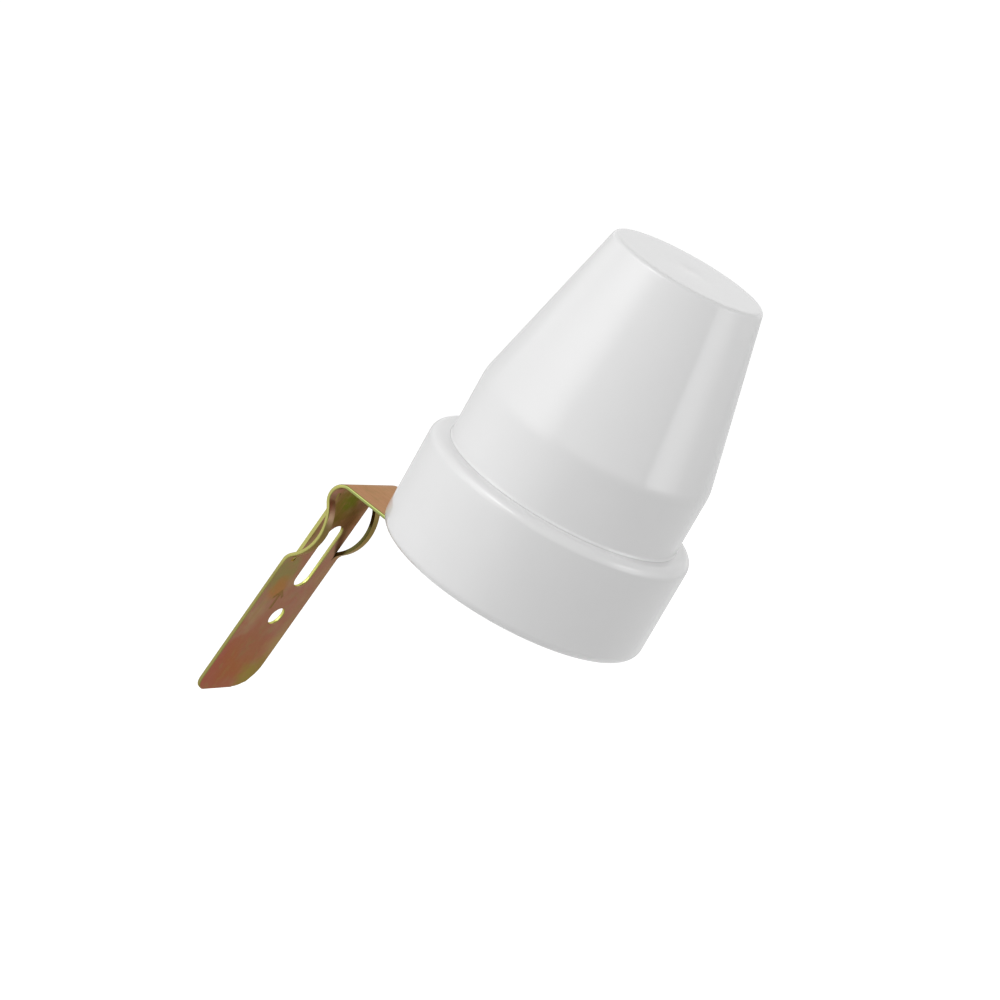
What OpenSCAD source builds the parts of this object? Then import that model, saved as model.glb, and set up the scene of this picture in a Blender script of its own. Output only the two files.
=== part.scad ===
/* [Base cup] */
// Outside diameter of the base cup
base_d = 72; // [68:1:84]
// Height of the base cup, floor to rim
base_h = 27.6; // [26:0.2:34]
// Wall thickness of the base cup
base_wall = 2.4; // [1.8:0.1:3]
// Thickness of the floor
floor_t = 2.6; // [2:0.1:3.4]
// Radius of the cup's lower and upper outside edges
base_edge_r = 2.6; // [1.6:0.1:3.4]
// Radial width of the thick lip at the rim
rim_w = 4.4; // [3.6:0.1:5]
// Height of the thick lip at the rim
lip_h = 5.6; // [4:0.1:7]
// Radius of the lip's inner top edge
lip_edge_r = 0.7; // [0.3:0.1:1.2]
// How many ribs carry the cover's skirt
rib_count = 6; // [4:1:9]
// Thickness of one of those ribs
rib_t = 1.6; // [1.2:0.1:2.2]
// Height of the pad under the floor that the bracket sits on
seat_h = 2; // [1.2:0.1:3]
// Radius of the pad's corners
seat_r = 3; // [1:0.5:5]

/* [Cover] */
// Height of the cover's top above the base's lower edge
cover_top = 90.2; // [80:0.2:110]
// Diameter of the flat top
cover_top_d = 40.6; // [36:0.2:50]
// Height of the straight skirt that shows above the rim
skirt_show = 17.2; // [10:0.2:22]
// How deep the skirt reaches into the base cup
skirt_depth = 10.6; // [9:0.2:12]
// Wall thickness of the cover
cover_wall = 1.8; // [1.4:0.1:2.4]
// Radius of the top edge
cover_edge_r = 1.4; // [0.4:0.1:3]
// Radius of the soft break between skirt and cone
cover_break_r = 9; // [4:1:14]
// How far the snap bead stands out of the skirt
bead_out = 0.9; // [0.6:0.1:1.2]
// Height of the snap bead
bead_h = 1.8; // [1.4:0.1:2.4]
// Diameter of the gate mark in the middle of the top
gate_d = 3.2; // [2:0.1:5]
// Depth of the gate mark
gate_deep = 0.25; // [0.1:0.05:0.5]
// Gap between the skirt and the lip
rim_clearance = 0.3; // [0.2:0.05:0.5]

/* [Bracket] */
// Thickness of the steel sheet
sheet_t = 1; // [0.8:0.1:1.4]
// Width of the bracket
bracket_w = 23.8; // [21:0.2:26]
// Distance of the bend's centre from the base cup's wall
bend_out = 10.6; // [6:0.1:20]
// Outside radius of the bend
bend_r = 4.5; // [3.5:0.1:6]
// How far the long leg leans away from the housing, degrees
leg_splay = 6.8; // [0:0.1:15]
// Length of the long leg below the bend
leg_l = 66.2; // [58:0.1:80]
// Length of the bowed side straps
bow_l = 22.5; // [18:0.5:24]
// How far the side straps stand proud of the leg
bow_rise = 4.4; // [3:0.1:5]
// Width of the strap on the left edge
left_strap_w = 2.8; // [2:0.1:3.4]
// Width of the strap on the right edge
right_strap_w = 2.5; // [2:0.1:3.4]
// Slit between the left strap and the tongue
left_slit = 1.4; // [0.4:0.1:2]
// Slit between the right strap and the tongue
right_slit = 0.2; // [0.2:0.1:2]
// Width of the long slot
slot_w = 6.3; // [5:0.1:7]
// Distance from the bend to the slot's upper round end
slot_from = 14.2; // [11:0.1:16]
// Distance between the centres of the slot's round ends
slot_l = 14; // [8:0.1:16]
// Diameter of the wall screw's hole
wall_hole_d = 5.2; // [4:0.1:6]
// Distance from the bend to the wall screw's hole
wall_hole_at = 41.6; // [38:0.1:50]
// How far the slot and the hole lie right of the leg's middle
slot_shift = 2.2; // [0:0.1:3]
// Radius of the lower left corner
left_corner_r = 3.9; // [1:0.1:8]
// Radius of the lower right corner
right_corner_r = 7.5; // [1:0.1:10]
// Where the short leg ends under the base, from the housing's axis
short_leg_end = 9.5; // [8.5:0.1:12]
// Radius of the short leg's end corners
short_corner_r = 4; // [1:0.1:8]

/* [Screws] */
// Distance of the outer bracket screw in from the base cup's wall
bracket_screw_in = 9; // [8:0.1:11]
// Spacing of the two bracket screws
bracket_screw_pitch = 11; // [9:0.1:12]
// Shank diameter of the bracket screws
bracket_screw_d = 3; // [2.5:0.1:3.5]
// Reach of the bracket screws above the bracket
bracket_screw_l = 7.4; // [6:0.1:8]
// Shank diameter of the board screws
board_screw_d = 2.2; // [1.8:0.1:2.6]
// Reach of the board screws below the board
board_screw_l = 4; // [3:0.1:5]
// Gap between a screw and its hole
screw_clearance = 0.1; // [0.05:0.05:0.3]
// Wall of plastic round a screw
boss_wall = 1.9; // [1.4:0.1:2.6]

/* [Wire inlet] */
// Bore of the rubber grommet
grommet_bore_d = 7; // [5:0.1:8]
// Wall of the grommet's neck
grommet_neck_wall = 1.4; // [1:0.1:2]
// How far the grommet's flanges stand out of its neck
grommet_flange = 1.5; // [1:0.1:2]
// Thickness of the grommet's flanges
grommet_flange_t = 1.4; // [1:0.1:1.8]
// Gap between the grommet and the floor
grommet_clearance = 0.1; // [0.05:0.05:0.3]

/* [Circuit board] */
// Thickness of the board
board_t = 1.6; // [1:0.1:2]
// Height of the board's lower face above the base's lower edge
board_z = 8.6; // [8.4:0.1:10]
// Gap between the board and the ribs
board_clearance = 0.8; // [0.5:0.1:1.5]
// Gap round each lead in its hole
lead_clearance = 0.15; // [0.1:0.05:0.3]
// How far leads reach below the board
lead_below = 1.5; // [1:0.1:2]
// Lift of the small parts above the board
part_lift = 0.4; // [0.3:0.1:1]

/* [Parts on the board] */
// Length of the relay
relay_l = 19.2; // [18:0.1:20]
// Width of the relay
relay_w = 15.4; // [14:0.1:16]
// Height of the relay
relay_h = 15.2; // [13:0.1:17]
// Length of the dropper capacitor
dropper_l = 18; // [16:0.1:19]
// Width of the dropper capacitor
dropper_w = 7.5; // [6:0.1:8]
// Height of the dropper capacitor
dropper_h = 13.5; // [10:0.1:15]
// Diameter of the smoothing capacitor
smoothing_d = 8; // [6:0.1:9]
// Height of the smoothing capacitor
smoothing_h = 12; // [9:0.1:16]
// Diameter of the delay capacitor
delay_d = 6.3; // [5:0.1:7]
// Height of the delay capacitor
delay_h = 11; // [8:0.1:14]
// Diameter of the light sensor's head
sensor_d = 5.2; // [4:0.1:7]
// Thickness of the light sensor's head
sensor_t = 2.1; // [1.6:0.1:3]
// Height of the light sensor's head above the board
sensor_rise = 30; // [15:0.5:40]

/* [Hidden] */
$fn = 96;
eps = 0.01;
cut_past = 1;

base_r = base_d / 2;
base_in_r = base_r - base_wall;
lip_in_r = base_r - rim_w;
skirt_r = lip_in_r - rim_clearance;
skirt_in_r = skirt_r - cover_wall;
skirt_top = base_h + skirt_show;
skirt_bottom = base_h - skirt_depth;
cover_top_r = cover_top_d / 2;
bead_top = base_h - lip_h - rim_clearance;
rib_inset = 0.4;
rib_in_r = skirt_in_r - rib_inset;
rib_start_angle = 30;

bend_x = base_r + bend_out;
bend_z = -seat_h - bend_r;
half_w = bracket_w / 2;
left_cut = left_strap_w + left_slit;
right_cut = right_strap_w + right_slit;
bow_angle = 2 * atan(2 * bow_rise / bow_l);
bow_reach = bow_l / 2 / sin(bow_angle);
bow_back_r = bow_reach - bend_r;
arc_steps = 16;

bracket_screw_out = base_r - bracket_screw_in;
bracket_screws_at = [for (i = [0, 1]) [-bracket_screw_out + i * bracket_screw_pitch, 0]];
bracket_bore_r = bracket_screw_d / 2 + screw_clearance;
bracket_boss_r = bracket_bore_r + boss_wall;
bracket_hole_r = bracket_screw_d / 2 + 2 * screw_clearance;
tip_room = 0.3;
boss_cap_t = 0.5;
bracket_boss_top = -seat_h + bracket_screw_l + tip_room + boss_cap_t;

board_r = rib_in_r - board_clearance;
board_top = board_z + board_t;
post_bore_r = board_screw_d / 2 + screw_clearance;
post_r = post_bore_r + boss_wall;
post_edge = 0.6;
post_ring = board_r - post_r - post_edge;
posts_at = [for (a = [0, 120, 240]) post_ring * [cos(a), sin(a)]];

grommet_neck_r = grommet_bore_d / 2 + grommet_neck_wall;
inlet_r = grommet_neck_r + grommet_clearance;

// Leads of the parts on the board
lead_d = 0.7;
thin_lead_d = 0.5;
pin_d = 1;
lead_bend_r = 1;
long_pitch = 15.24;
axial_pitch = 10.16;
short_pitch = 7.62;
can_pitch = 3.5;
sensor_pitch = 3.4;
dropper_pitch = 15;
transistor_pitch = 1.27;
lead_in_body = 1;

// Bodies of the small parts, diameter and length
diode_size = [2.7, 5.2];
zener_size = [2.6, 4.6];
coil_diode_size = [1.9, 3.8];
surge_resistor_size = [4, 11];
resistor_size = [2.4, 6.3];
relay_edge_r = 0.8;
relay_dot_d = 1.6;
relay_dot_in = 2.5;
relay_dot_deep = 0.4;
dropper_edge_r = 1;
transistor_r = 2.4;
transistor_flat = 1.4;
transistor_h = 4.8;
transistor_rise = 2.5;

// Places of the parts on the board
relay_at = [-9, 9];
dropper_at = [-8, -9];
smoothing_at = [11, -14];
delay_at = [18.5, -8];
sensor_at = [3.4, 3.6];
diodes_from = [5.5, 12];
diode_step = 4;
zener_at = [12, 2.5];
coil_diode_at = [-9, -2];
surge_resistor_at = [-1.5, -17.5];
bleed_resistor_at = [-13.5, -15.2];
bias_from = [8, -2];
bias_step = -3;
relay_transistor_at = [-2, 21];
sensing_transistor_at = [18, -16];

diodes_at = [for (i = [0:3]) diodes_from + [i * diode_step, 0]];
bias_at = [for (i = [0:2]) bias_from + [0, i * bias_step]];
relay_pins = [for (p = [[-8, -5], [-8, 5], [3, -6], [3, 6], [7, 0]]) relay_at + p];

function turned(v, a) = [v[0] * cos(a) - v[1] * sin(a), v[0] * sin(a) + v[1] * cos(a)];
function pair(at, a, pitch) = [for (s = [-1, 1]) at + turned([s * pitch / 2, 0], a)];
function three(at, pitch) = [for (s = [-1:1]) at + [s * pitch, 0]];

lead_holes = concat(
    pair(dropper_at, 0, dropper_pitch),
    pair(smoothing_at, 0, can_pitch),
    pair(delay_at, 0, can_pitch),
    pair(zener_at, 0, axial_pitch),
    pair(surge_resistor_at, 0, long_pitch),
    pair(bleed_resistor_at, 0, axial_pitch),
    [for (p = diodes_at) each pair(p, 90, axial_pitch)],
    [for (p = bias_at) each pair(p, 0, axial_pitch)]
);
thin_lead_holes = concat(
    pair(sensor_at, 90, sensor_pitch),
    pair(coil_diode_at, 0, short_pitch),
    three(relay_transistor_at, transistor_pitch),
    three(sensing_transistor_at, transistor_pitch)
);

// Rounding of outline corners

function unit(v) = v / norm(v);
function half_angle(p, a, b) = acos(unit(a - p) * unit(b - p)) / 2;
function corner_centre(p, a, b, r) =
    p + unit(unit(a - p) + unit(b - p)) * r / sin(half_angle(p, a, b));
function corner_touch(p, a, b, r) = p + unit(a - p) * r / tan(half_angle(p, a, b));

// What a round edge of radius r takes off the corner p, whose neighbours are a and b
module corner_waste(p, a, b, r) {
    c = corner_centre(p, a, b, r);
    difference() {
        polygon([2 * p - c, corner_touch(p, a, b, r), c, corner_touch(p, b, a, r)]);
        translate(c) circle(r);
    }
}

// A rectangle about the origin with round corners
module round_rect(size, r) {
    square([size[0] - 2 * r, size[1]], center = true);
    square([size[0], size[1] - 2 * r], center = true);
    for (x = [-1, 1], y = [-1, 1])
        translate([x * (size[0] / 2 - r), y * (size[1] / 2 - r)]) circle(r);
}

// Extrudes an outline drawn in X and Z along Y, from y0 to y1
module along_y(y0, y1) {
    translate([0, y1, 0]) rotate([90, 0, 0]) linear_extrude(y1 - y0) children();
}

// Cover

cover_foot = [skirt_r, skirt_bottom];
cover_break = [skirt_r, skirt_top];
cover_edge = [cover_top_r, cover_top];
cover_slope = unit(cover_edge - cover_break);
cover_inset = cover_wall / -cover_slope[0] * (1 - cover_slope[1]);
inner_top = cover_top - cover_wall;
inner_edge_r = cover_top_r - cover_wall / cover_slope[1]
    - cover_slope[0] / cover_slope[1] * cover_wall;
inner_break = [skirt_in_r, skirt_top - cover_inset];
inner_edge = [inner_edge_r, inner_top];

module cover_outline() {
    difference() {
        polygon([[0, skirt_bottom], cover_foot, cover_break, cover_edge, [0, cover_top]]);
        corner_waste(cover_edge, cover_break, [0, cover_top], cover_edge_r);
        corner_waste(cover_break, cover_foot, cover_edge, cover_break_r);
    }
    polygon([
        [skirt_in_r + eps, bead_top - bead_h], [skirt_r, bead_top - bead_h],
        [skirt_r + bead_out, bead_top - bead_h / 3], [skirt_r + bead_out, bead_top],
        [skirt_in_r + eps, bead_top]
    ]);
}

module cover() {
    color("whitesmoke") difference() {
        rotate_extrude() difference() {
            cover_outline();
            polygon([[0, skirt_bottom - cut_past], [skirt_in_r, skirt_bottom - cut_past],
                inner_break, inner_edge, [0, inner_top]]);
        }
        translate([0, 0, cover_top - gate_deep]) cylinder(d = gate_d, h = gate_deep + cut_past);
    }
}

// Base cup

module base_outline() {
    foot = [base_r, 0];
    rim = [base_r, base_h];
    lip = [lip_in_r, base_h];
    under_lip = base_h - lip_h;
    difference() {
        polygon([[0, 0], foot, rim, lip, [lip_in_r, under_lip], [base_in_r, under_lip],
            [base_in_r, floor_t], [0, floor_t]]);
        corner_waste(foot, [0, 0], rim, base_edge_r);
        corner_waste(rim, foot, lip, base_edge_r);
        corner_waste(lip, rim, [lip_in_r, under_lip], lip_edge_r);
    }
}

module bracket_seat() {
    from = -bracket_screw_out - bracket_boss_r;
    to = -short_leg_end;
    translate([(from + to) / 2, 0, -seat_h]) linear_extrude(seat_h + eps)
        round_rect([to - from, bracket_w], seat_r);
}

module skirt_ribs() {
    for (i = [0:rib_count - 1])
        rotate([0, 0, rib_start_angle + i * 360 / rib_count])
            translate([rib_in_r, -rib_t / 2, floor_t - eps])
                cube([base_in_r - rib_in_r + eps, rib_t, skirt_bottom - floor_t + eps]);
}

module base() {
    color("white") difference() {
        union() {
            rotate_extrude() base_outline();
            bracket_seat();
            skirt_ribs();
            for (p = posts_at)
                translate([p[0], p[1], floor_t - eps]) cylinder(r = post_r, h = board_z - floor_t + eps);
            for (p = bracket_screws_at)
                translate([p[0], p[1], floor_t - eps])
                    cylinder(r = bracket_boss_r, h = bracket_boss_top - floor_t + eps);
        }
        translate([0, 0, -cut_past]) cylinder(r = inlet_r, h = floor_t + 2 * cut_past);
        for (p = posts_at)
            translate([p[0], p[1], board_z - board_screw_l - tip_room])
                cylinder(r = post_bore_r, h = board_screw_l + tip_room + cut_past);
        for (p = bracket_screws_at)
            translate([p[0], p[1], -seat_h - cut_past])
                cylinder(r = bracket_bore_r, h = bracket_screw_l + tip_room + cut_past);
    }
}

// Bracket

// Side view of the sheet in X and Z: points of its outer face, each with the outward direction
leg_down = [-sin(leg_splay), -cos(leg_splay)];
leg_back = [-cos(leg_splay), sin(leg_splay)];
bend_centre = [-bend_x, bend_z];
leg_top = bend_centre + bend_r * leg_back;

function facing(a) = [cos(a), sin(a)];
function arc(c, r, a0, a1, side) = [for (i = [0:arc_steps])
    let (a = a0 + (a1 - a0) * i / arc_steps) [c + r * facing(a), side * facing(a)]];
function after_first(l) = [for (i = [1:len(l) - 1]) l[i]];
function before_last(l) = [for (i = [0:len(l) - 2]) l[i]];
function sheet(faces) = concat(
    [for (f = faces) f[0]],
    [for (i = [len(faces) - 1:-1:0]) faces[i][0] - sheet_t * faces[i][1]]
);

upper_faces = concat(
    [[[-short_leg_end, -seat_h], [0, 1]]],
    arc(bend_centre, bend_r, 90, 180 - leg_splay, 1)
);
lower_faces = [for (q = [bow_l, leg_l + cut_past]) [leg_top + q * leg_down, leg_back]];

// A strap runs on round the bend, bows forward and comes back to the leg
bow_from = bow_angle - leg_splay;
bow_to = -bow_angle - leg_splay;
strap_faces = concat(
    after_first(arc(bend_centre, bend_r, 180 - leg_splay, 180 + bow_from, 1)),
    after_first(arc(bend_centre - bow_reach * facing(bow_from), bow_back_r, bow_from, bow_to, -1)),
    before_last(after_first(arc(bend_centre + bow_l * leg_down, bend_r, 180 + bow_to, 180 - leg_splay, 1)))
);

module strap_slice(y0, y1) {
    along_y(y0, y1) polygon(sheet(concat(upper_faces, strap_faces, lower_faces)));
}

module tongue_slice(y0, y1) {
    along_y(y0, y1) polygon(sheet(concat(upper_faces, lower_faces)));
}

module slit_slice(y0, y1) {
    along_y(y0, y1) polygon(sheet(upper_faces));
    along_y(y0, y1) polygon(sheet(lower_faces));
}

// What is cut from the long leg, drawn with Y to the right and the bend at the top
module leg_cuts() {
    low_left = [-half_w, -leg_l];
    low_right = [half_w, -leg_l];
    corner_waste(low_left, [-half_w, 0], low_right, left_corner_r);
    corner_waste(low_right, [half_w, 0], low_left, right_corner_r);
    translate([-half_w - cut_past, -leg_l - 2 * cut_past])
        square([bracket_w + 2 * cut_past, 2 * cut_past]);
    translate([slot_shift - slot_w / 2, -slot_from - slot_l]) square([slot_w, slot_l]);
    for (q = [slot_from, slot_from + slot_l])
        translate([slot_shift, -q]) circle(d = slot_w);
    translate([slot_shift, -wall_hole_at]) circle(d = wall_hole_d);
}

module short_leg_cuts() {
    for (s = [-1, 1])
        corner_waste([-short_leg_end, s * half_w], [-bend_x, s * half_w],
            [-short_leg_end, -s * half_w], short_corner_r);
    for (p = bracket_screws_at) translate(p) circle(bracket_hole_r);
}

module bracket() {
    cut_t = sheet_t + 2 * cut_past;
    color("darkkhaki") difference() {
        union() {
            strap_slice(-half_w, -half_w + left_strap_w);
            slit_slice(-half_w + left_strap_w, -half_w + left_cut);
            tongue_slice(-half_w + left_cut, half_w - right_cut);
            slit_slice(half_w - right_cut, half_w - right_strap_w);
            strap_slice(half_w - right_strap_w, half_w);
        }
        translate([-bend_x, 0, bend_z]) rotate([0, leg_splay, 0])
            translate([-bend_r - cut_past, 0, 0]) rotate([90, 0, 90]) linear_extrude(cut_t) leg_cuts();
        translate([0, 0, -seat_h - sheet_t - cut_past]) linear_extrude(cut_t) short_leg_cuts();
    }
}

// Screws

// Pan head with a cross recess, its seat at the origin, the shank up along Z
module pan_screw(d, l) {
    head_r = 0.95 * d;
    head_h = 0.65 * d;
    dome_r = 1.2 * head_r;
    tip_l = d / 2;
    recess_w = d / 5;
    difference() {
        union() {
            rotate_extrude() intersection() {
                translate([0, -head_h]) square([head_r, head_h]);
                translate([0, dome_r - head_h]) circle(dome_r);
            }
            translate([0, 0, -eps]) cylinder(d = d, h = l - tip_l + eps);
            translate([0, 0, l - tip_l]) cylinder(d1 = d, d2 = d / 4, h = tip_l);
        }
        for (a = [0, 90])
            rotate([0, 0, a]) translate([-d / 2, -recess_w / 2, -head_h - cut_past])
                cube([d, recess_w, cut_past + head_h / 2]);
    }
}

module bracket_screws() {
    color("silver") for (p = bracket_screws_at)
        translate([p[0], p[1], -seat_h - sheet_t]) pan_screw(bracket_screw_d, sheet_t + bracket_screw_l);
}

module board_screws() {
    color("silver") for (p = posts_at)
        translate([p[0], p[1], board_top]) rotate([180, 0, 0])
            pan_screw(board_screw_d, board_t + board_screw_l);
}

// Wire inlet

module wire_grommet() {
    lower = -grommet_flange_t;
    upper = floor_t + grommet_flange_t;
    bore_r = grommet_bore_d / 2;
    flange_r = grommet_neck_r + grommet_flange;
    color("dimgray") rotate_extrude() difference() {
        union() {
            translate([bore_r, lower]) square([grommet_neck_wall, upper - lower]);
            translate([bore_r, lower]) square([flange_r - bore_r, grommet_flange_t]);
            translate([bore_r, floor_t]) square([flange_r - bore_r, grommet_flange_t]);
        }
        corner_waste([flange_r, lower], [bore_r, lower], [flange_r, 0], grommet_flange_t / 2);
        corner_waste([flange_r, upper], [bore_r, upper], [flange_r, floor_t], grommet_flange_t / 2);
    }
}

// Circuit board

module circuit_board() {
    color("peru") translate([0, 0, board_z]) linear_extrude(board_t) difference() {
        circle(board_r);
        for (p = posts_at) translate(p) circle(d = board_screw_d + 4 * screw_clearance);
        for (p = relay_pins) translate(p) circle(d = pin_d + 2 * lead_clearance);
        for (p = lead_holes) translate(p) circle(d = lead_d + 2 * lead_clearance);
        for (p = thin_lead_holes) translate(p) circle(d = thin_lead_d + 2 * lead_clearance);
    }
}

// Straight lead through the board, up to the given height above it
module lead(p, d, rise) {
    translate([p[0], p[1], board_z - lead_below]) cylinder(d = d, h = board_t + lead_below + rise);
}

// Part that lies on the board between two bent leads
module axial_part(at, a, pitch, size, wire) {
    d = size[0];
    l = size[1];
    axis_z = board_top + part_lift + d / 2;
    elbow = pitch / 2 - lead_bend_r;
    edge = d / 5;
    translate([at[0], at[1], 0]) rotate([0, 0, a]) {
        translate([0, 0, axis_z]) rotate([0, 90, 0]) {
            rotate_extrude() translate([0, -l / 2]) difference() {
                square([d / 2, l]);
                corner_waste([d / 2, 0], [0, 0], [d / 2, l], edge);
                corner_waste([d / 2, l], [0, l], [d / 2, 0], edge);
            }
            translate([0, 0, -elbow]) cylinder(d = wire, h = 2 * elbow);
        }
        for (s = [0, 180]) rotate([0, 0, s]) {
            translate([elbow, 0, axis_z - lead_bend_r]) rotate([90, 0, 0])
                rotate_extrude(angle = 90) translate([lead_bend_r, 0]) circle(d = wire);
            translate([pitch / 2, 0, board_z - lead_below])
                cylinder(d = wire, h = axis_z - lead_bend_r - board_z + lead_below);
        }
    }
}

// Round can with a rolled neck, standing on the board
module can(at, d, h) {
    neck_z = h / 6;
    translate([at[0], at[1], board_top]) rotate_extrude() difference() {
        square([d / 2, h]);
        corner_waste([d / 2, h], [0, h], [d / 2, 0], d / 12);
        translate([d / 2 + d / 24, neck_z]) circle(d / 12);
    }
    for (p = pair(at, 0, can_pitch)) lead(p, lead_d, lead_in_body);
}

// Small moulded body with one flat side, on three legs
module transistor(at) {
    translate([at[0], at[1], board_top + transistor_rise]) linear_extrude(transistor_h) intersection() {
        circle(transistor_r);
        translate([-transistor_r, -transistor_flat])
            square([2 * transistor_r, transistor_r + transistor_flat]);
    }
    for (p = three(at, transistor_pitch)) lead(p, thin_lead_d, transistor_rise + lead_in_body);
}

module relay() {
    color("royalblue") {
        translate([relay_at[0], relay_at[1], board_top]) difference() {
            linear_extrude(relay_h) round_rect([relay_l, relay_w], relay_edge_r);
            translate([relay_l / 2 - relay_dot_in, relay_w / 2 - relay_dot_in, relay_h - relay_dot_deep])
                cylinder(d = relay_dot_d, h = relay_dot_deep + cut_past);
        }
        for (p = relay_pins) lead(p, pin_d, lead_in_body);
    }
}

module light_sensor() {
    head_z = board_top + sensor_rise;
    color("sandybrown") {
        translate([sensor_at[0], sensor_at[1], head_z]) rotate_extrude() difference() {
            square([sensor_d / 2, sensor_t]);
            corner_waste([sensor_d / 2, sensor_t], [0, sensor_t], [sensor_d / 2, 0], sensor_t / 4);
        }
        for (p = pair(sensor_at, 90, sensor_pitch)) lead(p, thin_lead_d, sensor_rise + sensor_t / 3);
    }
}

module dropper_capacitor() {
    color("gold") {
        translate([dropper_at[0], dropper_at[1], board_top])
            linear_extrude(dropper_h) round_rect([dropper_l, dropper_w], dropper_edge_r);
        for (p = pair(dropper_at, 0, dropper_pitch)) lead(p, lead_d, lead_in_body);
    }
}

module smoothing_capacitor() {
    color("midnightblue") can(smoothing_at, smoothing_d, smoothing_h);
}

module delay_capacitor() {
    color("midnightblue") can(delay_at, delay_d, delay_h);
}

module rectifier_diodes() {
    color("dimgray") for (p = diodes_at) axial_part(p, 90, axial_pitch, diode_size, lead_d);
}

module zener_diode() {
    color("firebrick") axial_part(zener_at, 0, axial_pitch, zener_size, lead_d);
}

module coil_diode() {
    color("firebrick") axial_part(coil_diode_at, 0, short_pitch, coil_diode_size, thin_lead_d);
}

module relay_transistor() {
    color("dimgray") transistor(relay_transistor_at);
}

module sensing_transistor() {
    color("dimgray") transistor(sensing_transistor_at);
}

module surge_resistor() {
    color("tan") axial_part(surge_resistor_at, 0, long_pitch, surge_resistor_size, lead_d);
}

module bleed_resistor() {
    color("tan") axial_part(bleed_resistor_at, 0, axial_pitch, resistor_size, lead_d);
}

module bias_resistors() {
    color("tan") for (p = bias_at) axial_part(p, 0, axial_pitch, resistor_size, lead_d);
}

cover();
base();
bracket();
bracket_screws();
wire_grommet();
circuit_board();
board_screws();
relay();
light_sensor();
dropper_capacitor();
smoothing_capacitor();
delay_capacitor();
rectifier_diodes();
zener_diode();
coil_diode();
relay_transistor();
sensing_transistor();
surge_resistor();
bleed_resistor();
bias_resistors();
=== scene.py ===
import math

import bmesh
import bpy
from mathutils import Matrix, Vector


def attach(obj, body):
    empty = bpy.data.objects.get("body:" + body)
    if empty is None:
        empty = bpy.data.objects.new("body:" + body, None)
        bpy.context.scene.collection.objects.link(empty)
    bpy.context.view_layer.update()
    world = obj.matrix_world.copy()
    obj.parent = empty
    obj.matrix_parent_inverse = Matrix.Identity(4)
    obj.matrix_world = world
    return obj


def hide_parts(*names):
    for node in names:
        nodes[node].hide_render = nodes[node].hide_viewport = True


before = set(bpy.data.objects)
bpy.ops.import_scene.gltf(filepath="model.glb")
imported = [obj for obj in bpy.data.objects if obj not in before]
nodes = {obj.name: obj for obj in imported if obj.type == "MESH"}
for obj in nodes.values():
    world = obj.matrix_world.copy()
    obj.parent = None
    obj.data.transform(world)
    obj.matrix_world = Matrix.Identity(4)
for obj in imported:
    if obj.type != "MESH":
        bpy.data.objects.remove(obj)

scene = bpy.context.scene
scene.view_settings.view_transform = "Standard"
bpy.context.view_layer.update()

MM = 0.001
BODY = "root"

# Housing, millimetres and degrees; its foot is at Z = 0
BASE_R, BASE_H, BASE_IN_R, FLOOR_T = 36.0, 27.6, 33.6, 2.6
BASE_EDGE_R, LIP_EDGE_R = 2.6, 0.3
UNDER_LIP = 22.0
LIP_GAP = 0.03
INLET_R = 5.0
FOOT_RING_R, WALL_RINGS_Z = 20.0, (10.0, 18.0)   # rings that keep the shading of flat faces even
SKIRT_R, SKIRT_IN_R, SKIRT_BOTTOM, SKIRT_TOP = 31.3, 29.5, 17.0, 44.8
BEAD_BOTTOM, BEAD_TOP, BEAD_OUT, BEAD_FLAT = 19.9, 21.7, 0.9, 0.6
FLARE_OUT, FLARE_TALL, FLARE_Z = 0.22, 0.5, 27.62   # thin flare round the skirt, just above the rim
SKIRT_RING_Z, CONE_RINGS, TOP_RINGS_R = 30.0, (0.33, 0.66), (16.0, 9.0)
COVER_TOP, COVER_TOP_R, COVER_EDGE_R, COVER_BREAK_R = 90.2, 20.3, 1.4, 14.0
INNER_BREAK_Z, INNER_TOP, INNER_TOP_R = 44.58, 88.4, 18.88
GATE_R, GATE_SLOPE, GATE_DEEP = 0.9, 0.4, 0.05
POLE_R = 0.3   # the innermost ring of the top, which is then filled
SEAT_FROM, SEAT_TO, SEAT_H, SEAT_CORNER_R, SEAT_INTO = -30.5, -9.5, 2.0, 3.0, 0.5
RIB_IN_R, RIB_T, RIB_COUNT, RIB_START = 29.1, 1.6, 6, 30.0
POST_R, POST_BORE_R, POST_RING, POST_TOP, POST_BORE_FROM, POST_COUNT = 3.1, 1.2, 24.6, 8.6, 4.3, 3
BOSS_R, BOSS_BORE_R, BOSS_TOP, BOSS_BORE_TO = 3.5, 1.6, 6.2, 5.7
BOSSES_X = (-27.0, -16.0)
HOUSING_SMOOTH = 32.0

# Bracket, millimetres and degrees; the long leg is measured down from the bend's centre
BRACKET_HALF_W, SHEET_T, EDGE_R = 11.9, 1.0, 0.35
BEND_X, BEND_Z, BEND_R = -46.6, -6.5, 4.5
LEG_SPLAY = math.radians(6.8)
STRAP_L, LEFT_SLIT_Y, RIGHT_SLIT_Y = 22.5, -8.4, 9.3
LEFT_SLIT_REACH, RIGHT_SLIT_REACH = 0.9, 0.3
SLITS_REACH_X = 4.0   # the slits lie no further in than this from the bend's centre
ARROW_TIP, ARROW_TAIL, ARROW_Y, ARROW_BARB = 32.8, 38.6, -3.6, 2.0
ARROW_WIDE, ARROW_DEEP = 0.8, 0.05
SHARP_ANGLE, SHEET_SMOOTH = 35.0, 30.0

# Modelling, millimetres and degrees
ROUND_SIDES, ROD_SIDES = 192, 64
RING_MERGE, CAD_MERGE, CAD_FLAT = 0.002, 0.001, 0.5
OVERLAP, CLEAR = 0.2, 1.0   # how far an added bar goes in, and how far a cutter stands out


# Modelling by hand

def clear_selection():
    if bpy.context.object and bpy.context.object.mode != "OBJECT":
        bpy.ops.object.mode_set(mode="OBJECT")
    bpy.ops.object.select_all(action="DESELECT")


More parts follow.
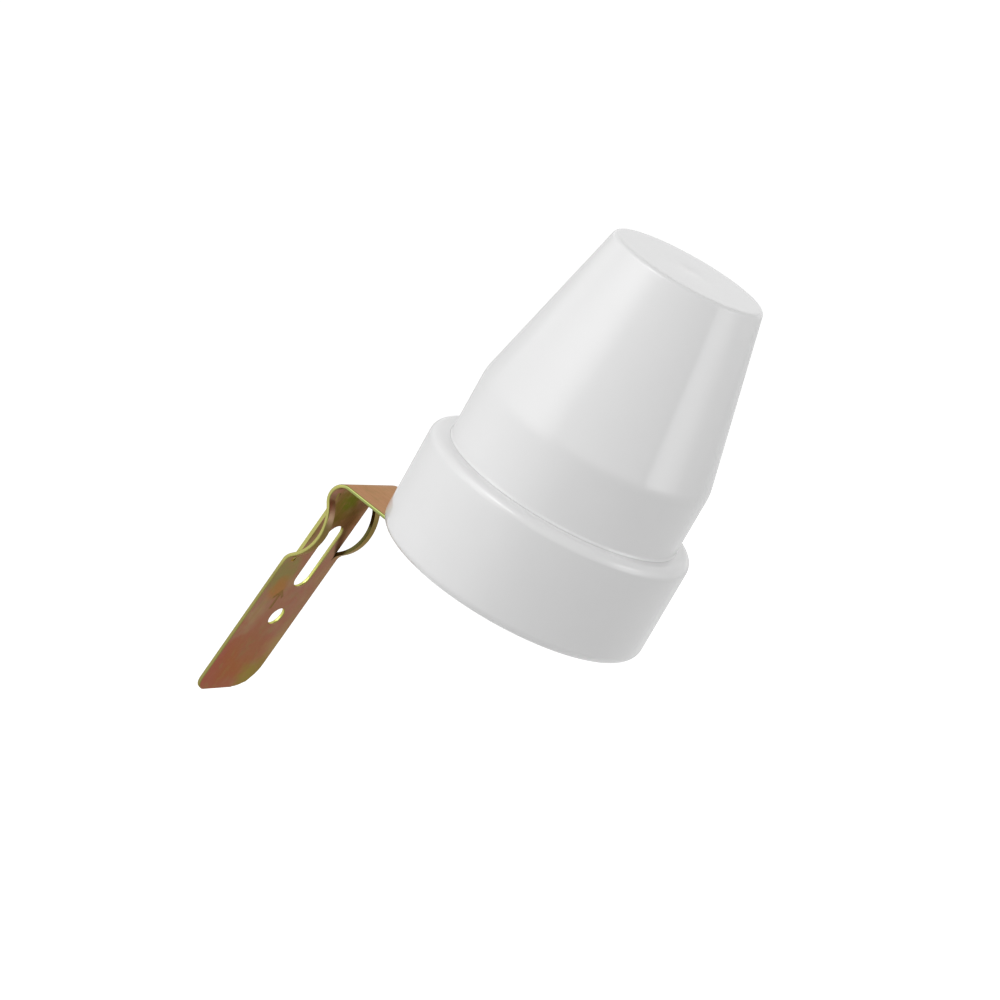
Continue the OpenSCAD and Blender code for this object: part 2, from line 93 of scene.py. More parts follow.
def take(piece):
    """Makes the piece the only selected and active object."""
    clear_selection()
    piece.select_set(True)
    bpy.context.view_layer.objects.active = piece


def named(name):
    """Names the primitive that was just added and puts its place into its mesh."""
    piece = bpy.context.object
    piece.name = piece.data.name = name
    bpy.ops.object.transform_apply(location=True, rotation=True, scale=True)
    return piece


def open_mesh(piece):
    take(piece)
    bpy.ops.object.mode_set(mode="EDIT")
    bpy.ops.mesh.select_mode(type="FACE")


def close_mesh():
    bpy.ops.object.mode_set(mode="OBJECT")


def pick_edges(piece, test):
    """Selects the edges of the open mesh that pass the test."""
    bpy.ops.mesh.select_mode(type="EDGE")
    mesh = bmesh.from_edit_mesh(piece.data)
    bpy.ops.mesh.select_all(action="DESELECT")
    for edge in mesh.edges:
        edge.select_set(test(edge))
    mesh.select_flush_mode()
    bmesh.update_edit_mesh(piece.data)


def join_to(piece, other, operation):
    """Unites the other solid with the piece, or cuts it out of the piece."""
    take(piece)
    modifier = piece.modifiers.new("Boolean", "BOOLEAN")
    modifier.object, modifier.operation, modifier.solver = other, operation, "EXACT"
    bpy.ops.object.modifier_apply(modifier=modifier.name)
    bpy.data.objects.remove(other)


def smooth(piece, angle):
    take(piece)
    bpy.ops.object.shade_smooth_by_angle(angle=math.radians(angle))


def round_corner(before, corner, after, radius, steps=10):
    """Points of the arc that rounds a corner of an outline."""
    p, a, b = (Vector(v) for v in (corner, before, after))
    to_a, to_b = (a - p).normalized(), (b - p).normalized()
    half = to_a.angle(to_b) / 2
    centre = p + (to_a + to_b).normalized() * radius / math.sin(half)
    start = p + to_a * radius / math.tan(half) - centre
    sweep = start.angle_signed(p + to_b * radius / math.tan(half) - centre)
    points = []
    for i in range(steps + 1):
        turn = Matrix.Rotation(-sweep * i / steps, 2)
        points.append(tuple(centre + turn @ start))
    return points


def turned(name, outline):
    """A body of revolution about Z: a ring, extruded and scaled from point to point of the outline."""
    clear_selection()
    radius, height = outline[0]
    bpy.ops.mesh.primitive_circle_add(vertices=ROUND_SIDES, radius=radius * MM, location=(0, 0, height * MM))
    piece = named(name)
    bpy.ops.object.mode_set(mode="EDIT")
    bpy.ops.mesh.select_all(action="SELECT")
    for (r0, z0), (r1, z1) in zip(outline, outline[1:]):
        bpy.ops.mesh.extrude_edges_move(TRANSFORM_OT_translate={"value": (0, 0, (z1 - z0) * MM)})
        bpy.ops.transform.resize(value=(r1 / r0, r1 / r0, 1), center_override=(0, 0, 0))
    bpy.ops.mesh.select_all(action="SELECT")
    bpy.ops.mesh.remove_doubles(threshold=RING_MERGE * MM)
    bpy.ops.mesh.select_all(action="DESELECT")
    bpy.ops.mesh.select_mode(type="EDGE")
    bpy.ops.mesh.select_non_manifold()
    if any(edge.select for edge in bmesh.from_edit_mesh(piece.data).edges):
        bpy.ops.mesh.edge_face_add()
    bpy.ops.mesh.select_all(action="SELECT")
    bpy.ops.mesh.normals_make_consistent(inside=False)
    close_mesh()
    return piece


def rod(name, x, y, radius, low, high):
    """A plain round bar along Z, used to add to or cut from another piece."""
    clear_selection()
    bpy.ops.mesh.primitive_cylinder_add(vertices=ROD_SIDES, radius=radius * MM, depth=(high - low) * MM,
                                        location=(x * MM, y * MM, (low + high) / 2 * MM))
    return named(name)


def block(name, low, high, turn=0.0):
    """A plain bar between two corners, turned about Z, used to add to another piece."""
    clear_selection()
    low, high = Vector(low) * MM, Vector(high) * MM
    bpy.ops.mesh.primitive_cube_add(size=1, location=(low + high) / 2, scale=high - low)
    piece = named(name)
    if turn:
        piece.rotation_euler.z = math.radians(turn)
        bpy.ops.object.transform_apply(rotation=True)
    return piece


def merged_copy(node, name):
    """A copy of a CAD node with its loose triangles joined."""
    piece = bpy.data.objects.new(name, nodes[node].data.copy())
    scene.collection.objects.link(piece)
    take(piece)
    bpy.ops.mesh.customdata_custom_splitnormals_clear()
    open_mesh(piece)
    bpy.ops.mesh.select_all(action="SELECT")
    bpy.ops.mesh.remove_doubles(threshold=CAD_MERGE * MM)
    bpy.ops.mesh.dissolve_limited(angle_limit=math.radians(CAD_FLAT))
    close_mesh()
    return piece


# Materials

def srgb(red, green, blue):
    """An 8-bit display colour as linear numbers."""
    def linear(value):
        value /= 255
        return value / 12.92 if value <= 0.04045 else ((value + 0.055) / 1.055) ** 2.4
    return linear(red), linear(green), linear(blue), 1.0


class Socket:
    """A node's output; sums, products and the like of it add Math nodes."""

    def __init__(self, owner, output):
        self.owner, self.output = owner, output

    def math(self, operation, first, second=0.0):
        return self.owner.node("Math", {"operation": operation}, {0: first, 1: second})

    def __add__(self, other):
        return self.math("ADD", self, other)

    def __sub__(self, other):
        return self.math("SUBTRACT", self, other)

    def __rsub__(self, other):
        return self.math("SUBTRACT", other, self)

    def __mul__(self, other):
        return self.math("MULTIPLY", self, other)

    def __pow__(self, other):
        return self.math("POWER", self, other)

    def __abs__(self):
        return self.math("ABSOLUTE", self)

    def larger(self, other):
        return self.math("MAXIMUM", self, other)

    __radd__, __rmul__ = __add__, __mul__


class Nodes:
    """Adds nodes to a material's, a lamp's or the world's tree."""

    def __init__(self, tree):
        self.tree = tree

    def node(self, kind, settings=None, inputs=None, output=0):
        node = self.tree.nodes.new("ShaderNode" + kind)
        for key, value in (settings or {}).items():
            if key == "stops":
                ramp = node.color_ramp.elements
                while len(ramp) < len(value):
                    ramp.new(1.0)
                for stop, (position, colour) in zip(ramp, value):
                    stop.position, stop.color = position, colour
            else:
                setattr(node, key, value)
        for key, value in (inputs or {}).items():
            self.join(value, node.inputs[key])
        return Socket(self, node.outputs[output])

    def join(self, value, target):
        if isinstance(value, Socket):
            self.tree.links.new(value.output, target)
        else:
            target.default_value = value

    def band(self, value, start, end):
        """0 below start, 1 above end, smooth between them."""
        return self.node("MapRange", {"interpolation_type": "SMOOTHSTEP"},
                         {"Value": value, "From Min": start, "From Max": end})

    def parts(self, vector):
        split = self.node("SeparateXYZ", None, {0: vector}).output.node
        return [Socket(self, output) for output in split.outputs]

    def ray_level(self, seen, mirrored, otherwise):
        """A strength for what the camera sees, for what gloss and glass show, and for all other light."""
        camera, glossy, clear = (self.node("LightPath", output="Is %s Ray" % kind)
                                 for kind in ("Camera", "Glossy", "Transmission"))
        return otherwise + (seen - otherwise) * camera + (mirrored - otherwise) * glossy.larger(clear)


class Finish(Nodes):
    """A procedural material on Object coordinates."""

    def __init__(self, name, **sockets):
        self.material = bpy.data.materials.new(name)
        self.material.use_nodes = True
        super().__init__(self.material.node_tree)
        self.shader = self.tree.nodes["Principled BSDF"]
        self.place = self.node("TexCoord", output="Object")
        self.feed(**sockets)

    def feed(self, **sockets):
        """Sets or links sockets of the main shader, named with underscores."""
        for key, value in sockets.items():
            self.join(value, self.shader.inputs[key.replace("_", " ")])

    def noise(self, size, detail, stretch=None, distortion=0.0):
        """Cloudy noise whose patches are about size millimetres."""
        place = self.place
        if stretch:
            place = self.node("Mapping", None, {"Vector": place, "Scale": stretch})
        return self.node("TexNoise", None, {
            "Vector": place, "Scale": 1 / (size * MM), "Detail": detail, "Roughness": 0.55,
            "Distortion": distortion})

    def ramp(self, factor, *stops):
        return self.node("ValToRGB", {"stops": stops}, {"Fac": factor})

    def mix(self, factor, first, second):
        return self.node("Mix", {"data_type": "RGBA"}, {0: factor, 6: first, 7: second}, 2)

    def bump(self, height, depth, strength):
        """Raises the surface by up to depth millimetres."""
        self.feed(Normal=self.node("Bump", None, {
            "Height": height, "Distance": depth * MM, "Strength": strength}))

    def dress(self, piece):
        if not piece.material_slots:
            piece.data.materials.append(self.material)
        for slot in piece.material_slots:
            slot.material = self.material
        return piece


def moulded_white(name, light, shade, roughness):
    """Polished white plastic: faint clouds in its colour, a dull skin and a clear gloss over it."""
    finish = Finish(name, IOR=1.5, Coat_IOR=1.5, Coat_Roughness=0.07)
    clouds = finish.noise(26, 2)
    fine = finish.noise(1.5, 3)
    finish.feed(Base_Color=finish.mix(clouds, light, shade),
                Roughness=roughness - 0.03 + 0.06 * fine,
                Coat_Weight=0.7 + 0.2 * clouds)
    finish.bump(finish.noise(14, 0), 0.012, 0.5)
    return finish


cover_plastic = moulded_white("cover_plastic", srgb(236, 236, 236), srgb(231, 231, 231), 0.30)
base_plastic = moulded_white("base_plastic", srgb(234, 234, 234), srgb(229, 229, 229), 0.32)

# Tints of the bracket's zinc, with painted shade, painted highlights and a painted reflection among them
LEG_CLOUDS = (
    (0.34, srgb(146, 100, 88)),
    (0.48, srgb(146, 110, 94)),
    (0.60, srgb(149, 122, 96)),
    (0.74, srgb(138, 126, 84)),
)
LEG_TINTS_AND_PAINTED_LIGHT = (   # place along the leg, across it and reach in millimetres; tint (the last five rows paint shade and a reflection); share
    ((60, -7, 23), srgb(146, 80, 70), 0.9),
    ((54, -1, 12), srgb(144, 88, 54), 0.8),
    ((48, 2, 14), srgb(143, 96, 84), 0.6),
    ((62, 10, 9), srgb(130, 120, 60), 0.9),
    ((51, 12, 7), srgb(150, 130, 90), 0.8),
    ((26, -9, 9), srgb(122, 122, 76), 0.8),
    ((32, -6, 5), srgb(154, 106, 62), 0.8),
    # painted light from here to the table's end: shade under the bend and at the near strap's shoulder, and a
    # painted reflection at (6, -10.8)
    ((9, 5, 9), srgb(110, 78, 42), 0.8),
    ((4, -3, 9), srgb(96, 84, 28), 0.9),
    ((3, -1, 4), srgb(84, 96, 26), 0.8),
    ((6, -10.8, 3.5), srgb(186, 156, 130), 0.8),
    ((12, -11, 8), srgb(108, 96, 50), 0.85),
)
TOP_COPPER, TOP_TAN = srgb(184, 138, 112), srgb(178, 140, 108)
MOTTLE_OLIVE, MOTTLE_RED = srgb(126, 126, 82), srgb(158, 104, 92)
SCRATCH_BROWN = srgb(138, 100, 68)
# the first is the painted shade of the stamped arrow
ARROW_PAINTED_SHADE, RIGHT_STRAP_OLIVE = srgb(106, 90, 44), srgb(124, 112, 64)
# painted shade on the slopes of the rounded cut edges
EDGE_ROUND_SHADE = srgb(122, 114, 62)
# olive cut edges; the middle one, by the straps, is lighter as a painted highlight
TOP_CUT, STRAP_CUT_HIGHLIGHT, LEG_CUT = srgb(140, 150, 90), srgb(168, 166, 98), srgb(142, 136, 80)
# painted glint on the walls of the slot and the hole
BORE_GLINT = srgb(198, 200, 112)
# painted shade in the narrow slits beside the straps
LEFT_SLIT_SHADE, RIGHT_SLIT_SHADE = srgb(100, 80, 42), srgb(64, 56, 28)


def yellow_zinc():
    """Yellow passivated zinc on folded sheet: copper, olive and gold patches with drawn streaks, and painted
    light: shade under the bend, in the slits and the stamp, glints on the bores and edges.
    """
    finish = Finish("zinc_steel", Metallic=1.0, Specular_Tint=(0.80, 0.66, 0.50, 1.0))
    band, mix = finish.band, finish.mix
    x, y, z = finish.parts(finish.place)
    along = (x - BEND_X * MM) * -math.sin(LEG_SPLAY) - (z - BEND_Z * MM) * math.cos(LEG_SPLAY)
    clouds = finish.noise(12, 3, distortion=0.5)
    blur = finish.noise(5, 2)
    mottle = finish.noise(2.6, 3, distortion=0.4)
    streaks = finish.noise(1.6, 3, stretch=(0.12, 1.0, 0.12))
    scratches = finish.noise(0.45, 3, stretch=(0.06, 1.0, 0.06))
    grain = finish.noise(0.3, 2)

    def patch(at_along, at_y, reach):
        """1 at a place on the long leg, fading out unevenly over its reach."""
        away = ((along - at_along * MM) ** 2 + (y - at_y * MM) ** 2) ** 0.5
        return 1 - band(away + (blur - 0.5) * reach * MM, 0.25 * reach * MM, reach * MM)

    # the sheet's faces
    on_leg = band(along, -4.2 * MM, -3.0 * MM)
    colour = mix(on_leg, mix(clouds, TOP_COPPER, TOP_TAN),
                 finish.ramp(clouds + 0.12 * (streaks - 0.5), *LEG_CLOUDS))
    # the patches are the zinc's uneven tint, and under the bend painted shade and a painted reflection
    for spot, tint, share in LEG_TINTS_AND_PAINTED_LIGHT:
        colour = mix(patch(*spot) * share, colour, tint)
    colour = mix(band(mottle, 0.54, 0.68) * 0.22, colour, MOTTLE_OLIVE)
    colour = mix(band(1 - mottle, 0.56, 0.70) * 0.22, colour, MOTTLE_RED)
    colour = mix(band(scratches, 0.50, 0.66) * 0.3, colour, SCRATCH_BROWN)

    # the arrow stamped in the front is painted a darker olive, as painted shade in its shallow recess
    normal_x, normal_y, normal_z = finish.parts(finish.node("TexCoord", output="Normal"))
    side, back = abs(y - ARROW_Y * MM), along - ARROW_TIP * MM
    half, soft = ARROW_WIDE / 2 * MM, 0.25 * MM
    barb_half = 1.2 * half
    barbs = (1 - band(abs(back - side), barb_half, barb_half + soft)) * (
        1 - band(side, ARROW_BARB * MM, ARROW_BARB * MM + soft))
    tail = (ARROW_TAIL - ARROW_TIP) * MM
    bar = (1 - band(side, half, half + soft)) * band(back, -soft, 0.0) * (
        1 - band(back, tail, tail + soft))
    front = band(normal_x, 0.3, 0.6)
    colour = mix(bar.larger(barbs) * front * 0.55, colour, ARROW_PAINTED_SHADE)

    right_strap = band(y, RIGHT_SLIT_Y * MM, (RIGHT_SLIT_Y + 0.2) * MM) * on_leg * (
        1 - band(along, (STRAP_L - 4) * MM, (STRAP_L + 1) * MM))
    colour = mix(right_strap * (0.6 + 0.4 * blur), colour, RIGHT_STRAP_OLIVE)

    # cut edges are olive and smoother; the slopes of their rounding are painted darker as shade, and the cut
    # faces by the straps are painted lighter as a highlight
    facing = abs(normal_y)
    edge = band(facing, 0.1, 0.4)
    below_straps = band(along, (STRAP_L - 2) * MM, (STRAP_L + 4) * MM)
    cut = mix(on_leg, TOP_CUT, mix(below_straps, STRAP_CUT_HIGHLIGHT, LEG_CUT))
    colour = mix(edge, colour, EDGE_ROUND_SHADE)
    colour = mix(band(facing, 0.6, 0.9) * (0.8 + 0.2 * blur), colour, cut)

    # the walls of the slot and the hole get a painted glint, and those of the slits painted shade
    across = abs(normal_x * math.cos(LEG_SPLAY) - normal_z * math.sin(LEG_SPLAY))
    inboard = band(BRACKET_HALF_W * MM - abs(y), 4.5 * MM, 5.5 * MM)
    bore = (1 - band(across, 0.3, 0.6)) * below_straps * inboard
    colour = mix(bore, colour, BORE_GLINT)
    # painted shade on the walls in the slits
    wall = band(facing, 0.2, 0.5)
    left_slit_shade = (1 - band(abs(y - LEFT_SLIT_Y * MM), 0.8 * MM, 1.0 * MM)) * band(
        STRAP_L / 2 * MM - along, 0.3 * STRAP_L * MM, 0.4 * STRAP_L * MM)
    colour = mix(left_slit_shade * wall * 0.9, colour, LEFT_SLIT_SHADE)
    right_slit_shade = (1 - band(abs(y - RIGHT_SLIT_Y * MM), 0.35 * MM, 0.5 * MM)) * (
        1 - band(along, STRAP_L * MM, (STRAP_L + 1) * MM))
    colour = mix(right_slit_shade * wall * 0.85, colour, RIGHT_SLIT_SHADE)

    gloss = 0.24 + 0.14 * streaks + 0.08 * grain
    cut_gloss = 0.18
    finish.feed(Base_Color=colour, Roughness=gloss + edge.larger(bore) * (cut_gloss - gloss))
    finish.bump(streaks * 0.5 + grain * 0.5, 0.012, 0.4)
    return finish


zinc_steel = yellow_zinc()


def speckled(name, first, second, size, roughness, metallic=0.0, depth=0.02):
    """A small part's finish: two near colours in fine clouds, uneven gloss and a little tooth."""
    finish = Finish(name, Metallic=metallic)
    clouds = finish.noise(size, 4)
    tooth = finish.noise(size / 5, 2)
    finish.feed(Base_Color=finish.ramp(clouds, (0.35, first), (0.65, second)),
                Roughness=roughness - 0.06 + 0.12 * tooth)
    finish.bump(tooth, depth, 0.5)
    return finish


small_finishes = (
    (speckled("screw_steel", srgb(196, 196, 198), srgb(168, 168, 172), 0.9, 0.30, metallic=1.0),
     ("bracket_screws", "board_screws")),
    (speckled("grommet_rubber", srgb(48, 48, 50), srgb(36, 36, 38), 0.8, 0.72),
     ("wire_grommet",)),
    (speckled("board_laminate", srgb(176, 134, 84), srgb(152, 110, 64), 1.6, 0.48),
     ("circuit_board",)),
    (speckled("relay_case", srgb(38, 78, 156), srgb(30, 66, 138), 3.0, 0.36),
     ("relay",)),
    (speckled("sensor_head", srgb(222, 168, 108), srgb(206, 120, 70), 0.5, 0.34),
     ("light_sensor",)),
    (speckled("film_resin", srgb(208, 164, 54), srgb(190, 142, 40), 2.0, 0.38),
     ("dropper_capacitor",)),
    (speckled("can_sleeve", srgb(34, 40, 66), srgb(26, 30, 52), 2.0, 0.34),
     ("smoothing_capacitor", "delay_capacitor")),
    (speckled("black_mould", srgb(40, 40, 42), srgb(30, 30, 32), 0.6, 0.55),
     ("rectifier_diodes", "relay_transistor", "sensing_transistor")),
    (speckled("diode_glass", srgb(176, 82, 46), srgb(150, 58, 34), 0.8, 0.16, depth=0.01),
     ("zener_diode", "coil_diode")),
    (speckled("resistor_coat", srgb(206, 178, 138), srgb(190, 158, 116), 0.7, 0.50),
     ("surge_resistor", "bleed_resistor", "bias_resistors")),
)
for small_finish, small_parts in small_finishes:
    for small_part in small_parts:
        small_finish.dress(nodes[small_part])


# Cover: skirt with its snap bead, cone and flat top with the gate mark, hollowed from below

def make_cover():
    foot, brk, edge = (SKIRT_R, SKIRT_BOTTOM), (SKIRT_R, SKIRT_TOP), (COVER_TOP_R, COVER_TOP)
    shell = turned("cover_shell", [
        foot, (SKIRT_R, BEAD_BOTTOM), (SKIRT_R + BEAD_OUT, BEAD_TOP - BEAD_FLAT),
        (SKIRT_R + BEAD_OUT, BEAD_TOP), (SKIRT_R, BEAD_TOP),
        (SKIRT_R, FLARE_Z), (SKIRT_R + FLARE_OUT, FLARE_Z), (SKIRT_R, FLARE_Z + FLARE_TALL),
        (SKIRT_R, FLARE_Z + 1.5 * FLARE_TALL), (SKIRT_R, SKIRT_RING_Z),
        *round_corner(foot, brk, edge, COVER_BREAK_R),
        *(tuple(Vector(brk).lerp(edge, share)) for share in CONE_RINGS),
        *round_corner(brk, edge, (0, COVER_TOP), COVER_EDGE_R, 12),
        *((radius, COVER_TOP) for radius in TOP_RINGS_R), (GATE_R + GATE_SLOPE, COVER_TOP),
        (GATE_R, COVER_TOP - GATE_DEEP), (POLE_R, COVER_TOP - GATE_DEEP),
    ])
    cavity = turned("cover_cavity", [
        (SKIRT_IN_R, SKIRT_BOTTOM - CLEAR), (SKIRT_IN_R, INNER_BREAK_Z), (INNER_TOP_R, INNER_TOP),
        (POLE_R, INNER_TOP),
    ])
    join_to(shell, cavity, "DIFFERENCE")
    smooth(shell, HOUSING_SMOOTH)
    return shell


cover_shell = cover_plastic.dress(make_cover())
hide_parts("cover")
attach(cover_shell, BODY)


# Base: cup with a thick round rim, pad for the bracket below, ribs, posts and bosses inside

def make_base():
    foot, rim, lip = (BASE_R, 0.0), (BASE_R, BASE_H), (SKIRT_R + LIP_GAP, BASE_H)
    lip_end = (lip[0], UNDER_LIP)
    cup = turned("base_cup", [
        (INLET_R, 0.0), (FOOT_RING_R, 0.0), *round_corner((0, 0), foot, rim, BASE_EDGE_R, 12),
        *((BASE_R, height) for height in WALL_RINGS_Z), *round_corner(foot, rim, lip, BASE_EDGE_R, 14),
        *round_corner(rim, lip, lip_end, LIP_EDGE_R, 8), lip_end, (BASE_IN_R, UNDER_LIP),
        (BASE_IN_R, FLOOR_T), (INLET_R, FLOOR_T), (INLET_R, 0.0),
    ])
    pad = block("pad", (SEAT_FROM, -BRACKET_HALF_W, -SEAT_H), (SEAT_TO, BRACKET_HALF_W, SEAT_INTO))
    open_mesh(pad)
    pick_edges(pad, lambda e: abs(e.verts[0].co.z - e.verts[1].co.z) > SEAT_H / 2 * MM)
    bpy.ops.mesh.bevel(offset=SEAT_CORNER_R * MM, segments=10, affect="EDGES")
    close_mesh()
    join_to(cup, pad, "UNION")
    root_z = FLOOR_T - OVERLAP
    for i in range(RIB_COUNT):
        rib = block("rib", (RIB_IN_R, -RIB_T / 2, root_z), (BASE_IN_R + OVERLAP, RIB_T / 2, SKIRT_BOTTOM),
                    RIB_START + i * 360 / RIB_COUNT)
        join_to(cup, rib, "UNION")
    for i in range(POST_COUNT):
        turn = math.radians(i * 360 / POST_COUNT)
        x, y = POST_RING * math.cos(turn), POST_RING * math.sin(turn)
        join_to(cup, rod("post", x, y, POST_R, root_z, POST_TOP), "UNION")
        join_to(cup, rod("bore", x, y, POST_BORE_R, POST_BORE_FROM, POST_TOP + CLEAR), "DIFFERENCE")
    for x in BOSSES_X:
        join_to(cup, rod("boss", x, 0, BOSS_R, root_z, BOSS_TOP), "UNION")
        join_to(cup, rod("bore", x, 0, BOSS_BORE_R, -SEAT_H - CLEAR, BOSS_BORE_TO), "DIFFERENCE")
    smooth(cup, HOUSING_SMOOTH)
    return cup


base_cup = base_plastic.dress(make_base())
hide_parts("base")
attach(base_cup, BODY)


# Bracket: the folded sheet with its cut edges broken and an arrow stamped in its front

def leg_place(along, across, proud):
    """A place on the long leg in metres: down from the bend, to the right, and in front of its front face."""
    down = Vector((-math.sin(LEG_SPLAY), 0, -math.cos(LEG_SPLAY)))
    front = Vector((math.cos(LEG_SPLAY), 0, -math.sin(LEG_SPLAY)))
    centre = Vector((BEND_X, 0, BEND_Z))
    return (centre - front * (BEND_R - SHEET_T - proud) + down * along + Vector((0, across, 0))) * MM


def make_arrow_punch():
    """The punch that stamps the arrow: its flat outline, drawn up out of the leg's front face."""
    half, barb, tail = ARROW_WIDE / 2, ARROW_BARB, ARROW_TAIL - ARROW_TIP
    slant = half / math.sqrt(2)
    right_side = [(barb - slant, barb + slant), (barb + slant, barb - slant),
                  (half + 2 * slant, half), (tail, half)]
    outline = [(-2 * slant, 0), *right_side, *((a, -s) for a, s in reversed(right_side))]
    clear_selection()
    bpy.ops.mesh.primitive_circle_add(vertices=len(outline), fill_type="NGON")
    punch = named("arrow_punch")
    for vertex, (a, s) in zip(punch.data.vertices, outline):
        vertex.co = leg_place(ARROW_TIP + a, ARROW_Y + s, -ARROW_DEEP)
    open_mesh(punch)
    bpy.ops.mesh.select_all(action="SELECT")
    lift = leg_place(0, 0, 1) - leg_place(0, 0, 0)
    bpy.ops.mesh.extrude_region_move(TRANSFORM_OT_translate={"value": lift})
    bpy.ops.mesh.select_all(action="SELECT")
    bpy.ops.mesh.normals_make_consistent(inside=False)
    close_mesh()
    return punch


def in_slit(spot):
    """Whether a place lies in one of the slits beside the straps, where there is no room to break an edge."""
    y = spot.y / MM
    return spot.x < (BEND_X + SLITS_REACH_X) * MM and (
        abs(y - LEFT_SLIT_Y) < LEFT_SLIT_REACH or abs(y - RIGHT_SLIT_Y) < RIGHT_SLIT_REACH)


def make_bracket():
    sheet = merged_copy("bracket", "bracket_sheet")
    open_mesh(sheet)
    pick_edges(sheet, lambda e: e.calc_face_angle(0) > math.radians(SHARP_ANGLE)
               and not any(in_slit(v.co) for v in e.verts))
    bpy.ops.mesh.bevel(offset=EDGE_R * MM, segments=4, affect="EDGES", clamp_overlap=False)
    close_mesh()
    join_to(sheet, make_arrow_punch(), "DIFFERENCE")
    smooth(sheet, SHEET_SMOOTH)
    return sheet


bracket_sheet = zinc_steel.dress(make_bracket())
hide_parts("bracket")
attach(bracket_sheet, BODY)


# Camera: the photograph's frame, fitted on the housing's outline; distance and shift in millimetres

AZIMUTH, ELEVATION, ROLL = math.radians(26.855), math.radians(16.044), math.radians(29.506)
DISTANCE, SHIFT_X, SHIFT_Y = 751.7, 2.617, -20.740
PIXELS_PER_MM = 4.0516
SENSOR_MM, FRAME_PIXELS = 36.0, 1000
CLIP_NEAR, CLIP_FAR = 0.1, 50.0

to_camera = Vector((math.sin(AZIMUTH) * math.cos(ELEVATION), -math.cos(AZIMUTH) * math.cos(ELEVATION),
                    math.sin(ELEVATION)))
level_right = Vector((math.cos(AZIMUTH), math.sin(AZIMUTH), 0))
level_up = to_camera.cross(level_right)
view_right = level_right * math.cos(ROLL) + level_up * math.sin(ROLL)
view_up = level_up * math.cos(ROLL) - level_right * math.sin(ROLL)

camera = bpy.data.objects.new("camera", bpy.data.cameras.new("camera"))
scene.collection.objects.link(camera)
camera.data.sensor_width = SENSOR_MM
camera.data.lens = PIXELS_PER_MM * DISTANCE * SENSOR_MM / FRAME_PIXELS
camera.data.clip_start, camera.data.clip_end = CLIP_NEAR, CLIP_FAR
camera_turn = Matrix((view_right, view_up, to_camera)).transposed().to_4x4()
camera.matrix_world = Matrix.Translation(
    (to_camera * DISTANCE - view_right * SHIFT_X - view_up * SHIFT_Y) * MM) @ camera_turn
scene.camera = camera


# Light and floor, metres and degrees

LAMP_DISTANCE, LAMP_AIM_Z = 0.8, 0.05
AMBIENT = 0.31
FLOOR_Z, FLOOR_SIZE = -0.30, 40
FLOOR_GREY, FLOOR_GLOW, FLOOR_SHINE = 0.8, 0.80, 0.48


def softbox(name, azimuth, elevation, wide, tall, brightness, fades):
    """A soft lamp aimed at the housing; its place and spread are angles, the azimuth from the camera's.

    It fades out over these shares of its width at the left and right, and of its height below and above.
    """
    turn, rise = AZIMUTH + math.radians(azimuth), math.radians(elevation)
    away = Vector((math.sin(turn) * math.cos(rise), -math.cos(turn) * math.cos(rise), math.sin(rise)))
    lamp = bpy.data.lights.new(name, "AREA")
    lamp.shape = "RECTANGLE"
    lamp.size, lamp.size_y = (2 * LAMP_DISTANCE * math.tan(math.radians(spread / 2))
                              for spread in (wide, tall))
    lamp.energy = brightness * math.pi * lamp.size * lamp.size_y
    lamp.use_nodes = True
    glow = Nodes(lamp.node_tree)
    across, up, _ = glow.parts(glow.node("NewGeometry", output="Parametric"))
    left, right, low, high = fades
    level = (glow.band(across, 0, left) * glow.band(1 - across, 0, right)
             * glow.band(up, 0, low) * glow.band(1 - up, 0, high))
    glow.join(level, lamp.node_tree.nodes["Emission"].inputs["Strength"])
    holder = bpy.data.objects.new(name, lamp)
    scene.collection.objects.link(holder)
    holder.location = Vector((0, 0, LAMP_AIM_Z)) + away * LAMP_DISTANCE
    holder.rotation_mode = "QUATERNION"
    holder.rotation_quaternion = away.to_track_quat("Z", "Y")
    holder.visible_camera = False


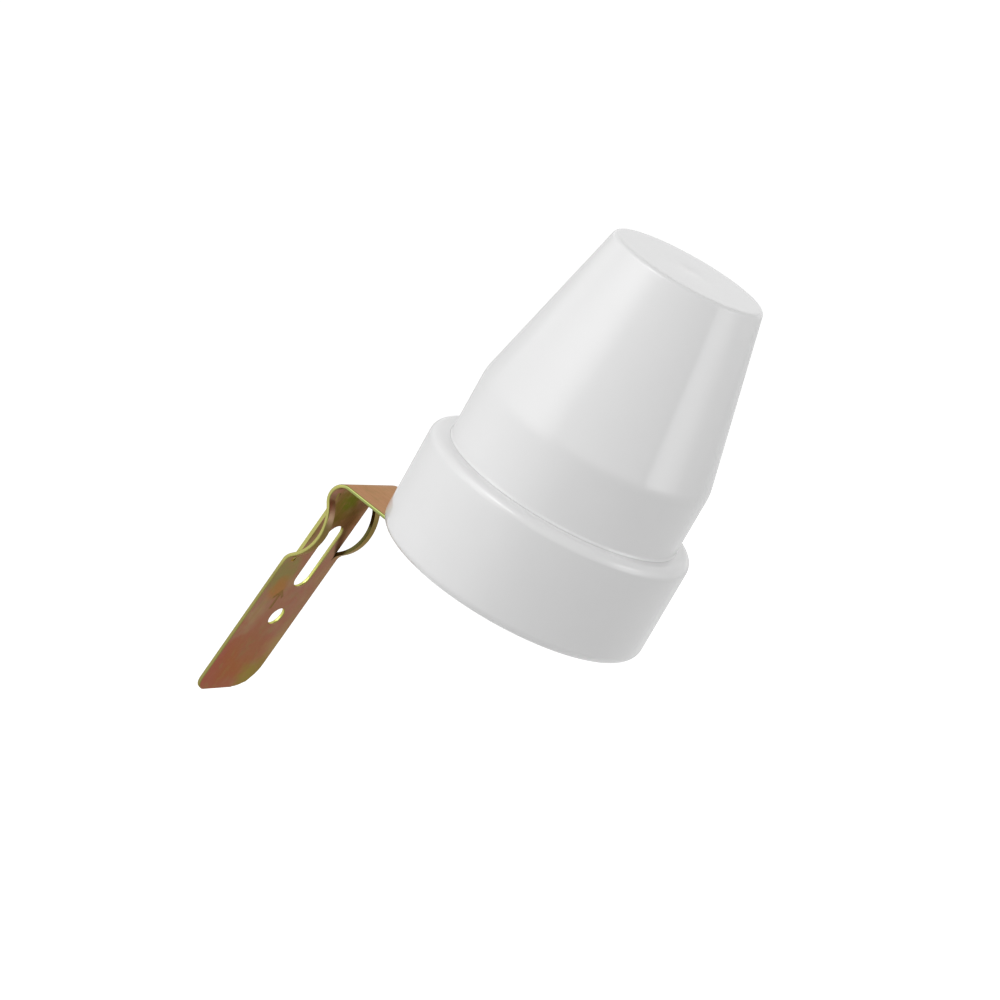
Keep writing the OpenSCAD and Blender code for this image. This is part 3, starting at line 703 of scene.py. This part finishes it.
softbox("left_softbox", -60, 24, 76, 96, 1.05, (0.4, 0.6, 0.4, 0.4))
softbox("left_core", -62, 34, 44, 56, 0.7, (0.4, 0.4, 0.4, 0.4))
softbox("left_edge", -48, 14, 40, 60, 0.6, (0.4, 0.25, 0.4, 0.4))
softbox("left_wrap", -105, 8, 60, 90, 0.29, (0.3, 0.3, 0.3, 0.3))
softbox("left_low", -64, -10, 90, 40, 0.28, (0.3, 0.3, 0.1, 0.3))
softbox("left_lamp", -44, 36, 36, 9, 6.0, (0.3, 0.3, 0.3, 0.3))
softbox("front_fill", 14, 24, 90, 60, 0.37, (0.2, 0.2, 0.2, 0.3))
softbox("front_low", -26, -15, 44, 24, 0.26, (0.3, 0.3, 0.2, 0.3))
softbox("right_strip", 82, 12, 46, 36, 1.4, (0.05, 0.7, 0.3, 0.4))
softbox("right_spill", 95, 26, 70, 54, 0.36, (0.1, 0.3, 0.2, 0.3))
softbox("right_lamp", 82, 33, 32, 9, 5.0, (0.3, 0.3, 0.3, 0.3))


def make_world():
    """White where the camera or gloss sees it, and a weaker light on the object."""
    world = bpy.data.worlds.new("white_studio")
    scene.world = world
    world.use_nodes = True
    sky = world.node_tree.nodes["Background"].inputs
    sky["Color"].default_value = (1, 1, 1, 1)
    sky_nodes = Nodes(world.node_tree)
    sky_nodes.join(sky_nodes.ray_level(1.0, 1.0, AMBIENT), sky["Strength"])


def make_floor():
    """Pale paper that keeps the shadow; its glow makes it white to the camera and greyer in reflections."""
    clear_selection()
    bpy.ops.mesh.primitive_plane_add(size=FLOOR_SIZE, location=(0, 0, FLOOR_Z))
    floor = named("floor")
    material = bpy.data.materials.new("floor_paper")
    material.use_nodes = True
    tree = material.node_tree
    tree.nodes.remove(tree.nodes["Principled BSDF"])
    paper = Nodes(tree)
    matt = paper.node("BsdfDiffuse", None, {"Color": (FLOOR_GREY, FLOOR_GREY, FLOOR_GREY, 1)})
    glow = paper.node("Emission", None, {"Strength": paper.ray_level(FLOOR_GLOW, FLOOR_SHINE, 0.0)})
    paper.join(paper.node("AddShader", None, {0: matt, 1: glow}),
               tree.nodes["Material Output"].inputs["Surface"])
    floor.data.materials.append(material)


make_world()
make_floor()
